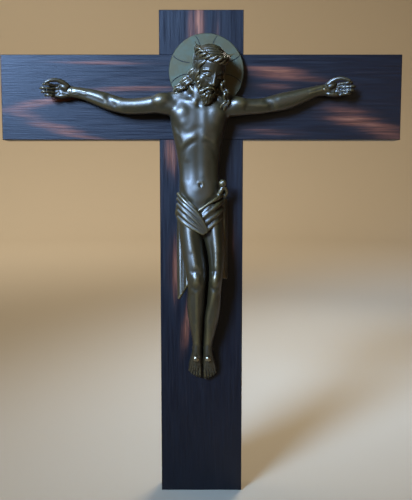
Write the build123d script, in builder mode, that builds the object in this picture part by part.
from build123d import *
import os

# Wall crucifix: a cross-lapped wooden cross with a cast bronze figure, halo and crown of thorns.
# +Z is up, -Y is the front and +X is the viewer's right.
# The origin is the crossing's centre on the wall plane.

# ---- wooden cross ----------------------------------------------------------------------------------
stile_length = 400.0
stile_width = 68.0
bar_length = 324.0
bar_width = 68.0
board_thickness = 18.0
bar_drop = 35.0  # from the stile's top end down to the crossbar's top edge
lap_depth = 9.0  # housing cut into the stile's front for the crossbar
arris = 0.4  # small chamfer that breaks the outer edges

# ---- cast figure -----------------------------------------------------------------------------------
pattern_height = 268.0  # crown to toes in the pattern that the section tables below describe
corpus_height = 268.0
shoulder_joint = 27.0  # half the width of the torso casting between the two arm castings
tenon_radius = 3.2
tenon_length = 7.0
joint_clearance = 0.05

# ---- halo and its rivet ----------------------------------------------------------------------------
halo_radius = 30.0
halo_thickness = 1.8
halo_stand_off = 5.0  # back of the halo in front of the wood
halo_bevel = 0.5
halo_groove = 0.7  # width of the engraved lines
halo_groove_depth = 0.35
halo_cross_rise = 2.6  # centre of the engraved cross above the disc's
rivet_radius = 1.4
rivet_head_radius = 2.8
rivet_head = 1.2
rivet_grip = 6.0  # depth of the rivet in the back of the head
relief_gap = 0.3  # room around the halo where it passes behind the shoulders

# ---- crown of thorns -------------------------------------------------------------------------------
crown_radius = 13.8  # to the middle of the twisted band
crown_width = 7.4  # height of the band along the head
crown_thickness = 4.4
thorn_length = 3.6
thorn_radius = 0.75
thorn_count = 11

# ---- nails -----------------------------------------------------------------------------------------
hand_nail_radius = 1.1
hand_nail_head = 2.0
hand_nail_bite = 9.0  # length in the wood
foot_nail_radius = 1.2
foot_nail_head = 2.5
foot_nail_bite = 10.0
nail_head_height = 1.3

# ---- keyhole hanger on the back --------------------------------------------------------------------
plate_width = 18.0
plate_height = 40.0
plate_thickness = 1.6
plate_corner = 3.0
plate_inset = 0.3  # plate's face below the wall plane
plate_top_margin = 6.0  # from the stile's top end
keyhole_radius = 4.5
keyhole_slot = 4.5
keyhole_rise = 9.0  # from the entry hole's centre up to the slot's round end
pocket_depth = 5.5  # room behind the plate for a screw's head
pocket_margin = 1.5
screw_radius = 1.5
screw_head_radius = 2.8
screw_head_depth = 1.3
screw_length = 7.5
screw_spacing = 31.0

# ---- cutting tools ---------------------------------------------------------------------------------
overrun = 1.0  # how far a cut starts outside the piece
cut_reach = 80.0  # depth of the blocks that trim a casting to a plane

# ---- derived places --------------------------------------------------------------------------------
k = corpus_height / pattern_height
front = board_thickness  # distance of the wood's front face from the wall plane
stile_top = bar_width / 2 + bar_drop
stile_bottom = stile_top - stile_length
plate_centre = stile_top - plate_top_margin - plate_height / 2
keyhole_entry = plate_centre - keyhole_rise / 2
screw_places = (plate_centre - screw_spacing / 2, plate_centre + screw_spacing / 2)
halo_centre = (4.1, 19.4)
hand_nail_places = ((-103.9, 4.0, 8.2), (98.3, 5.2, 8.2))
foot_nail_places = ((-4.3, -212.7, 13.6), (5.4, -212.7, 13.6))


def at(x, z, h):
    """A point of the figure: x to the right, z up, h in front of the wood."""
    return Vector(k * x, -front - k * h, k * z)


def facing_front(x, y, z):
    """Sketch plane whose normal points out of the front, with +Z up in it."""
    return Plane(origin=(x, y, z), x_dir=(1, 0, 0), z_dir=(0, -1, 0))


def facing_back(x, y, z):
    """Sketch plane whose normal points at the wall."""
    return Plane(origin=(x, y, z), x_dir=(1, 0, 0), z_dir=(0, 1, 0))


def level_loft(rings):
    """Loft of level ellipses, each (z, x, half width, h, half depth)."""
    sections = []
    for z, x, half_width, h, half_depth in rings:
        with BuildSketch(Plane(origin=at(x, z, h), x_dir=(1, 0, 0), z_dir=(0, 0, 1))) as ring:
            Ellipse(k * half_width, k * half_depth)
        sections.append(ring.sketch)
    loft(sections)


def cross_loft(rings):
    """Loft of upright ellipses across X, each (x, z, half height, h, half depth)."""
    sections = []
    for x, z, half_height, h, half_depth in rings:
        with BuildSketch(Plane(origin=at(x, z, h), x_dir=(0, 0, 1), z_dir=(1, 0, 0))) as ring:
            Ellipse(k * half_height, k * half_depth)
        sections.append(ring.sketch)
    loft(sections)


def rod(start, end, start_radius, end_radius):
    """Tapered rod with a blunt far end, for fingers, toes and locks of hair."""
    axis = (end - start).normalized()
    tip = end + axis * k * end_radius * 0.8
    sections = []
    for centre, radius in ((start, start_radius), (end, end_radius), (tip, 0.5 * end_radius)):
        with BuildSketch(Plane(origin=centre, z_dir=axis)) as ring:
            Circle(k * radius)
        sections.append(ring.sketch)
    loft(sections, ruled=True)


def cylinder_y(x, z, radius, y_back, y_front, mode=Mode.ADD):
    """Cylinder along Y between two depths."""
    with BuildSketch(facing_front(x, y_back, z)) as disc:
        Circle(radius)
    extrude(disc.sketch, amount=y_back - y_front, mode=mode)


def drill(x, z, radius, y_back, y_front):
    """Round hole along Y between two depths."""
    cylinder_y(x, z, radius + joint_clearance, y_back, y_front, Mode.SUBTRACT)


def nail_pilot(spot, radius, bite):
    """Pilot hole that takes a nail's point in the wood."""
    place = at(*spot)
    drill(place.X, place.Z, radius, bite - front + joint_clearance, -front - overrun)


def nail_seat(spot, radius, head):
    """Hole for a nail through a casting, with a flat under its head."""
    place = at(*spot)
    drill(place.X, place.Z, radius, -front + overrun, place.Y)
    drill(place.X, place.Z, head, place.Y, place.Y - cut_reach)


def cut_behind_wood_face():
    """Remove whatever would reach into the wood, which leaves a flat back."""
    with BuildSketch(facing_back(0, -front, 0)) as face:
        Rectangle(2 * stile_length, 2 * stile_length)
    extrude(face.sketch, amount=cut_reach, mode=Mode.SUBTRACT)


def cut_halo_relief():
    """Round recess in the back of the figure that the halo passes through."""
    face = -front - k * halo_stand_off - halo_thickness - relief_gap
    place = at(halo_centre[0], halo_centre[1], 0)
    cylinder_y(place.X, place.Z, halo_radius + relief_gap, -front + overrun, face, Mode.SUBTRACT)


def board(width, length, upright):
    """Board with its outer arrises broken, back on the wall plane."""
    size = (width, length) if upright else (length, width)
    centre = (stile_top + stile_bottom) / 2 if upright else 0
    with BuildSketch(facing_front(0, 0, centre)) as outline:
        Rectangle(*size)
    extrude(outline.sketch, amount=board_thickness)


# ---- the corpus's sections, in pattern millimetres ---------------------------------------------------
neck_and_torso = (
    (8.0, 4.5, 7.2, 17.0, 7.0),
    (1.0, 1.5, 10.5, 14.5, 8.5),
    (-5.0, -0.8, 21.5, 11.5, 11.0),
    (-12.0, -0.9, 25.2, 10.0, 13.5),
    (-22.0, -1.8, 23.8, 9.5, 14.5),
    (-36.0, -1.6, 20.8, 8.5, 14.0),
    (-48.0, -1.2, 18.8, 8.0, 13.0),
    (-59.0, -1.0, 17.6, 8.0, 11.6),
    (-72.0, -0.8, 17.8, 8.0, 12.2),
    (-86.0, -0.6, 18.2, 8.0, 12.4),
    (-99.0, -0.3, 17.6, 8.0, 12.0),
    (-109.0, 0.2, 15.0, 8.5, 10.4),
)
head_and_beard = (
    (38.4, 7.0, 3.4, 19.0, 4.0),
    (35.0, 7.0, 9.0, 19.6, 9.8),
    (29.0, 7.2, 12.4, 20.4, 13.2),
    (21.0, 7.6, 13.4, 21.2, 14.6),
    (13.0, 8.0, 13.2, 22.4, 14.6),
    (6.0, 8.6, 11.6, 24.2, 12.8),
    (0.0, 9.2, 8.8, 26.0, 10.4),
    (-5.0, 9.6, 5.6, 27.6, 7.6),
    (-9.0, 9.6, 2.4, 29.0, 4.4),
)
right_leg = (
    (-92.0, -10.2, 9.8, 9.0, 11.0),
    (-108.0, -10.0, 10.0, 11.0, 11.5),
    (-124.0, -8.2, 9.0, 14.0, 10.8),
    (-138.0, -6.2, 7.2, 17.5, 9.0),
    (-147.0, -5.3, 6.4, 18.5, 8.4),
    (-157.0, -5.0, 5.8, 16.5, 7.6),
    (-172.0, -5.2, 5.7, 13.5, 7.4),
    (-188.0, -4.8, 4.6, 11.0, 6.0),
    (-201.0, -4.2, 3.6, 9.2, 4.6),
    (-210.0, -4.3, 3.6, 8.0, 4.6),
)
left_leg = (
    (-92.0, 10.0, 9.6, 9.0, 11.0),
    (-108.0, 10.2, 9.8, 11.0, 11.5),
    (-124.0, 10.2, 8.8, 14.0, 10.8),
    (-138.0, 9.4, 7.2, 17.5, 9.0),
    (-147.0, 8.6, 6.4, 18.5, 8.4),
    (-157.0, 8.4, 5.9, 16.5, 7.6),
    (-172.0, 8.2, 5.8, 13.5, 7.4),
    (-188.0, 7.0, 4.7, 11.0, 6.0),
    (-201.0, 5.8, 3.7, 9.2, 4.6),
    (-210.0, 5.8, 3.7, 8.0, 4.6),
)
right_foot = (
    (-200.0, -4.2, 2.6, 8.8, 3.6),
    (-208.0, -4.3, 4.2, 8.2, 5.4),
    (-217.0, -4.5, 4.8, 6.6, 5.4),
    (-225.0, -4.8, 4.8, 5.0, 4.0),
)
left_foot = (
    (-200.0, 5.8, 2.7, 8.8, 3.6),
    (-208.0, 5.6, 4.2, 8.2, 5.4),
    (-217.0, 6.2, 4.8, 6.6, 5.4),
    (-225.0, 7.0, 4.9, 5.0, 4.0),
)
right_shoulder = (-shoulder_joint, -7.0, 7.4, 11.4, 7.2)
left_shoulder = (shoulder_joint, -8.2, 7.2, 11.4, 7.2)
right_arm = (
    right_shoulder,
    (-36.0, -6.6, 7.4, 10.4, 7.0),
    (-46.0, -7.4, 6.9, 9.4, 6.6),
    (-58.0, -7.6, 6.8, 8.6, 6.2),
    (-70.0, -5.8, 6.6, 7.6, 5.6),
    (-82.0, -1.8, 6.2, 6.8, 5.2),
    (-93.0, 1.6, 5.6, 6.0, 4.4),
    (-104.0, 3.0, 4.9, 5.4, 3.2),
    (-108.0, 3.2, 4.9, 5.2, 3.0),
)
left_arm = (
    left_shoulder,
    (36.0, -8.0, 6.6, 10.2, 6.8),
    (46.0, -7.6, 6.3, 9.2, 6.4),
    (57.0, -5.8, 7.0, 8.4, 6.0),
    (70.0, -3.2, 6.6, 7.4, 5.6),
    (82.0, 0.6, 5.8, 6.6, 5.0),
    (92.0, 3.4, 5.0, 5.9, 4.2),
    (99.0, 5.0, 4.8, 5.4, 3.2),
    (103.0, 5.6, 4.9, 5.2, 3.0),
)


def hand(side, wrist_x, wrist_z):
    """Open hand with its palm forward, the thumb arching over the top edge."""

    def p(out, up, h):
        return at(wrist_x + side * out, wrist_z + up, h)

    palm = (
        (-4.0, -0.2, 4.6, 5.2, 3.0),
        (3.0, 0.2, 4.9, 4.8, 2.8),
        (9.0, 0.6, 5.3, 4.6, 2.6),
        (15.0, 0.8, 4.6, 4.6, 2.2),
    )
    cross_loft([(wrist_x + side * out, wrist_z + up, *section) for out, up, *section in palm])
    for up, tip_up, reach in ((3.4, 4.4, 18.7), (1.2, 1.9, 20.1), (-1.0, -0.8, 19.5), (-3.1, -3.0, 17.5)):
        rod(p(12, up, 4.2), p(reach, tip_up, 6.2), 1.55, 1.25)
    rod(p(3, 4.0, 5.0), p(9, 8.4, 7.2), 2.0, 1.8)
    rod(p(7.8, 7.7, 6.9), p(16, 6.6, 8.0), 1.35, 1.15)


# ---- the two boards ----------------------------------------------------------------------------------
with BuildPart() as stile:
    board(stile_width, stile_length, True)
    chamfer(stile.edges().group_by(Axis.Y)[0], arris)
    # housing for the crossbar, cut into the front
    with BuildSketch(facing_front(0, -front, 0)):
        Rectangle(2 * stile_width, bar_width)
    extrude(amount=-lap_depth, mode=Mode.SUBTRACT)
    # pilot holes for the two foot nails
    for spot in foot_nail_places:
        nail_pilot(spot, foot_nail_radius, foot_nail_bite)
    # recess for the keyhole plate, flush in the back
    with BuildSketch(facing_front(0, 0, plate_centre)):
        RectangleRounded(plate_width, plate_height, plate_corner)
        offset(amount=joint_clearance)
    extrude(amount=plate_inset + plate_thickness, mode=Mode.SUBTRACT)
    # room behind the plate for the head of the wall screw
    with BuildSketch(facing_front(0, 0, keyhole_entry + keyhole_rise / 2)):
        SlotCenterToCenter(keyhole_rise, 2 * (keyhole_radius + pocket_margin), rotation=90)
    extrude(amount=plate_inset + plate_thickness + pocket_depth, mode=Mode.SUBTRACT)
    # pilot holes for the plate's screws
    for z in screw_places:
        drill(0, z, screw_radius, overrun, -plate_inset - screw_length - joint_clearance)

with BuildPart() as crossbar:
    board(bar_width, bar_length, False)
    chamfer(crossbar.edges().group_by(Axis.Y)[0], arris)
    # housing for the stile, cut into the back
    with BuildSketch(facing_front(0, 0, 0)):
        Rectangle(stile_width, 2 * bar_width)
    extrude(amount=board_thickness - lap_depth, mode=Mode.SUBTRACT)
    # pilot holes for the two hand nails
    for spot in hand_nail_places:
        nail_pilot(spot, hand_nail_radius, hand_nail_bite)

# ---- halo, its rivet and the crown -------------------------------------------------------------------
halo_place = at(halo_centre[0], halo_centre[1], halo_stand_off)
halo_back = halo_place.Y
halo_face = halo_back - halo_thickness

with BuildPart() as halo:
    cylinder_y(halo_place.X, halo_place.Z, halo_radius, halo_back, halo_face)
    chamfer(halo.faces().sort_by(Axis.Y)[0].edges(), halo_bevel)
    # pairs of concave engraved lines draw a flared cross on the disc
    with BuildSketch(facing_front(halo_place.X, halo_face, halo_place.Z + halo_cross_rise)):
        for side in (-1, 1):
            with BuildLine(mode=Mode.PRIVATE):
                line = ThreePointArc(
                    (side * 0.15 * halo_radius, 0.45 * halo_radius),
                    (side * 0.21 * halo_radius, 0.72 * halo_radius),
                    (side * 0.38 * halo_radius, 0.93 * halo_radius),
                )
            with PolarLocations(0, 4):
                SlotArc(line, halo_groove)
    extrude(amount=-halo_groove_depth, mode=Mode.SUBTRACT)
    drill(halo_place.X, halo_place.Z, rivet_radius, halo_back + overrun, halo_face - overrun)

with BuildPart() as halo_rivet:
    cylinder_y(halo_place.X, halo_place.Z, rivet_head_radius, halo_back + rivet_head, halo_back)
    chamfer(halo_rivet.faces().sort_by(Axis.Y)[-1].edges(), rivet_head / 3)
    cylinder_y(halo_place.X, halo_place.Z, rivet_radius, halo_back, halo_face - rivet_grip)

crown_centre = at(6.6, 26.0, 22.0)
crown_axis = Vector(-0.05, -0.36, 0.93).normalized()
crown_plane = Plane(origin=crown_centre, x_dir=Vector(1, 0, 0.05 / 0.93), z_dir=crown_axis)


def crown_ring(extra, mode=Mode.ADD):
    """The crown's ring, or with extra its seat on the head."""
    side = Plane(origin=crown_plane.origin, x_dir=crown_plane.x_dir, z_dir=-crown_plane.y_dir)
    with BuildSketch(side) as band:
        with Locations((k * crown_radius, 0)):
            SlotOverall(k * crown_width + 2 * extra, k * crown_thickness + 2 * extra, rotation=90)
    revolve(band.sketch, axis=Axis(crown_plane.origin, crown_plane.z_dir), mode=mode)


def cut_halo_face():
    """Keep a piece in front of the halo."""
    with BuildSketch(facing_back(0, halo_face, 0)) as face:
        Rectangle(2 * stile_length, 2 * stile_length)
    extrude(face.sketch, amount=cut_reach, mode=Mode.SUBTRACT)


with BuildPart() as crown_of_thorns:
    crown_ring(0)
    for i in range(thorn_count):
        # the thorns stand on the front and the sides, where the crown is free of the halo
        turn = -170 + 160 * i / (thorn_count - 1)
        outward = (crown_plane.x_dir * 1).rotate(Axis(Vector(0, 0, 0), crown_plane.z_dir), turn)
        lean = (outward + crown_plane.z_dir * (0.9 if i % 2 else -0.2)).normalized()
        foot = crown_plane.origin + outward * k * crown_radius + lean * k * (crown_thickness / 2 - 0.6)
        for along, radius in ((0, thorn_radius), (thorn_length, 0.15)):
            with BuildSketch(Plane(origin=foot + lean * k * along, z_dir=lean)):
                Circle(k * radius)
        loft()
    cut_halo_face()

# ---- the corpus: head, torso, loincloth and legs in one casting ----------------------------------------
with BuildPart() as corpus_body:
    level_loft(neck_and_torso)
    cross_loft(((-6.0, -14.0, 9.0, 11.0, 9.0), (-18.0, -9.5, 8.4, 11.2, 8.4), right_shoulder))
    cross_loft(((6.0, -14.0, 9.0, 11.0, 9.0), (18.0, -9.5, 8.0, 11.2, 8.4), left_shoulder))
    level_loft(right_leg)
    level_loft(left_leg)
    level_loft(right_foot)
    level_loft(left_foot)
    # toes
    for i in range(5):
        size = 1.45 - 0.12 * i
        rod(at(-2.2 - 1.65 * i, -222.5, 4.4), at(-2.4 - 1.7 * i, -229.2 + 0.9 * i, 4.2), size, size)
        rod(at(3.9 + 1.75 * i, -223.5, 4.4), at(4.4 + 1.8 * i, -230.4 + 0.9 * i, 4.2), size, size)
    # skull, beard and hair
    level_loft(head_and_beard)
    rod(at(-2.4, 15.4, 22.0), at(-12.6, 7.0, 20.0), 3.4, 2.7)
    rod(at(-12.6, 7.0, 20.0), at(-22.0, 1.2, 16.5), 2.7, 1.7)
    rod(at(17.0, 10.0, 25.0), at(20.4, -4.6, 24.0), 3.6, 3.4)
    rod(at(20.4, -4.6, 24.0), at(17.8, -10.6, 22.0), 3.4, 2.0)
    # loincloth: two folded bands, the knot at the hip and two hanging tails
    level_loft(
        (
            (-76.0, -0.4, 19.2, 8.0, 13.6),
            (-90.0, -0.2, 20.6, 8.0, 14.8),
            (-104.0, -0.2, 20.6, 8.6, 15.2),
            (-111.0, -0.2, 19.2, 9.0, 14.0),
        )
    )
    level_loft(
        (
            (-66.5, 16.4, 1.2, 15.0, 1.4),
            (-69.0, 16.8, 3.0, 14.5, 3.4),
            (-72.5, 17.6, 3.2, 13.5, 3.8),
            (-78.0, 18.4, 2.8, 12.5, 4.0),
            (-88.0, 18.4, 2.2, 11.0, 4.4),
        )
    )
    level_loft(
        (
            (-86.0, -17.2, 3.4, 8.0, 7.0),
            (-110.0, -17.6, 3.2, 9.0, 7.6),
            (-135.0, -16.4, 3.6, 9.0, 7.0),
            (-154.0, -15.2, 3.6, 8.0, 6.0),
            (-162.0, -16.8, 1.6, 7.6, 5.0),
        )
    )
    level_loft(
        (
            (-86.0, 18.2, 2.2, 8.0, 7.0),
            (-120.0, 19.4, 1.5, 7.0, 6.0),
            (-149.0, 19.6, 1.2, 6.6, 5.0),
        )
    )
    cut_behind_wood_face()
    cut_halo_relief()
    # the back of the head is flat where the halo lies against it
    with BuildSketch(facing_back(halo_place.X, halo_face, halo_place.Z)):
        Rectangle(4 * halo_radius, 2 * halo_radius, align=(Align.CENTER, Align.MIN), rotation=180)
    extrude(amount=cut_reach, mode=Mode.SUBTRACT)
    crown_ring(joint_clearance, Mode.SUBTRACT)
    grip_end = halo_face - rivet_grip - joint_clearance
    drill(halo_place.X, halo_place.Z, rivet_radius, halo_face + overrun, grip_end)
    # sockets for the arms' tenons
    for x, z, half_height, h, half_depth in (right_shoulder, left_shoulder):
        inward = 1 if x < 0 else -1
        with BuildSketch(Plane(origin=at(x, z, h), x_dir=(0, 0, 1), z_dir=(inward, 0, 0))):
            Circle(tenon_radius + joint_clearance)
        extrude(amount=tenon_length + joint_clearance, mode=Mode.SUBTRACT)
    # holes for the foot nails
    for spot in foot_nail_places:
        nail_seat(spot, foot_nail_radius, foot_nail_head)


def finish_arm(rings, side, wrist, nail_spot):
    """The parts both arm castings share: hand, tenon, flat back, halo recess and nail hole."""
    hand(side, wrist[0], wrist[1])
    x, z, half_height, h, half_depth = rings[0]
    cut_behind_wood_face()
    cut_halo_relief()
    with BuildSketch(Plane(origin=at(x, z, h), x_dir=(0, 0, 1), z_dir=(-side, 0, 0))) as tenon:
        Circle(tenon_radius)
    extrude(tenon.sketch, amount=tenon_length)
    nail_seat(nail_spot, hand_nail_radius, hand_nail_head)


with BuildPart() as arm_right:
    cross_loft(right_arm)
    finish_arm(right_arm, -1, (-108.0, 3.2), hand_nail_places[0])

with BuildPart() as arm_left:
    cross_loft(left_arm)
    finish_arm(left_arm, 1, (103.0, 5.6), hand_nail_places[1])

# ---- nails -------------------------------------------------------------------------------------------


def nail(place, shank, head, bite):
    """Round nail with a domed head, driven into the wood."""
    tip = bite - front - place.Y
    with BuildSketch(Plane(origin=place, x_dir=(1, 0, 0), z_dir=(0, 0, 1))) as half:
        with BuildLine():
            dome = ThreePointArc((0, -nail_head_height), (0.7 * head, -0.68 * nail_head_height), (head, 0))
            Polyline(dome @ 1, (shank, 0), (shank, tip - 2 * shank), (0.2 * shank, tip), (0, tip), dome @ 0)
        make_face()
    revolve(half.sketch, axis=Axis(place, (0, 1, 0)))


with BuildPart() as hand_nails:
    for spot in hand_nail_places:
        nail(at(*spot), hand_nail_radius, hand_nail_head, hand_nail_bite)

with BuildPart() as foot_nails:
    for spot in foot_nail_places:
        nail(at(*spot), foot_nail_radius, foot_nail_head, foot_nail_bite)

# ---- hanger --------------------------------------------------------------------------------------------

with BuildPart() as keyhole_plate:
    with BuildSketch(facing_front(0, -plate_inset, plate_centre)):
        RectangleRounded(plate_width, plate_height, plate_corner)
        with Locations((0, keyhole_entry - plate_centre)):
            Circle(keyhole_radius, mode=Mode.SUBTRACT)
        with Locations((0, keyhole_entry - plate_centre + keyhole_rise / 2)):
            SlotCenterToCenter(keyhole_rise, keyhole_slot, rotation=90, mode=Mode.SUBTRACT)
    extrude(amount=plate_thickness)
    for z in screw_places:
        for depth, radius in ((0, screw_head_radius), (screw_head_depth, screw_radius)):
            with BuildSketch(facing_front(0, -plate_inset - depth, z)):
                Circle(radius + joint_clearance)
        loft(mode=Mode.SUBTRACT)
        drill(0, z, screw_radius, 0, -plate_inset - plate_thickness - overrun)

with BuildPart() as keyhole_screws:
    for z in screw_places:
        for depth, radius in ((0, screw_head_radius), (screw_head_depth, screw_radius)):
            with BuildSketch(facing_front(0, -plate_inset - depth, z)):
                Circle(radius)
        loft()
        cylinder_y(0, z, screw_radius, -plate_inset - screw_head_depth, -plate_inset - screw_length)

# ---- export --------------------------------------------------------------------------------------------
os.makedirs("parts", exist_ok=True)
pieces = {
    "stile": stile,
    "crossbar": crossbar,
    "corpus_body": corpus_body,
    "arm_right": arm_right,
    "arm_left": arm_left,
    "crown_of_thorns": crown_of_thorns,
    "halo": halo,
    "halo_rivet": halo_rivet,
    "hand_nails": hand_nails,
    "foot_nails": foot_nails,
    "keyhole_plate": keyhole_plate,
    "keyhole_screws": keyhole_screws,
}
for name, piece in pieces.items():
    piece.part.label = name
    export_step(piece.part, f"parts/{name}.step")
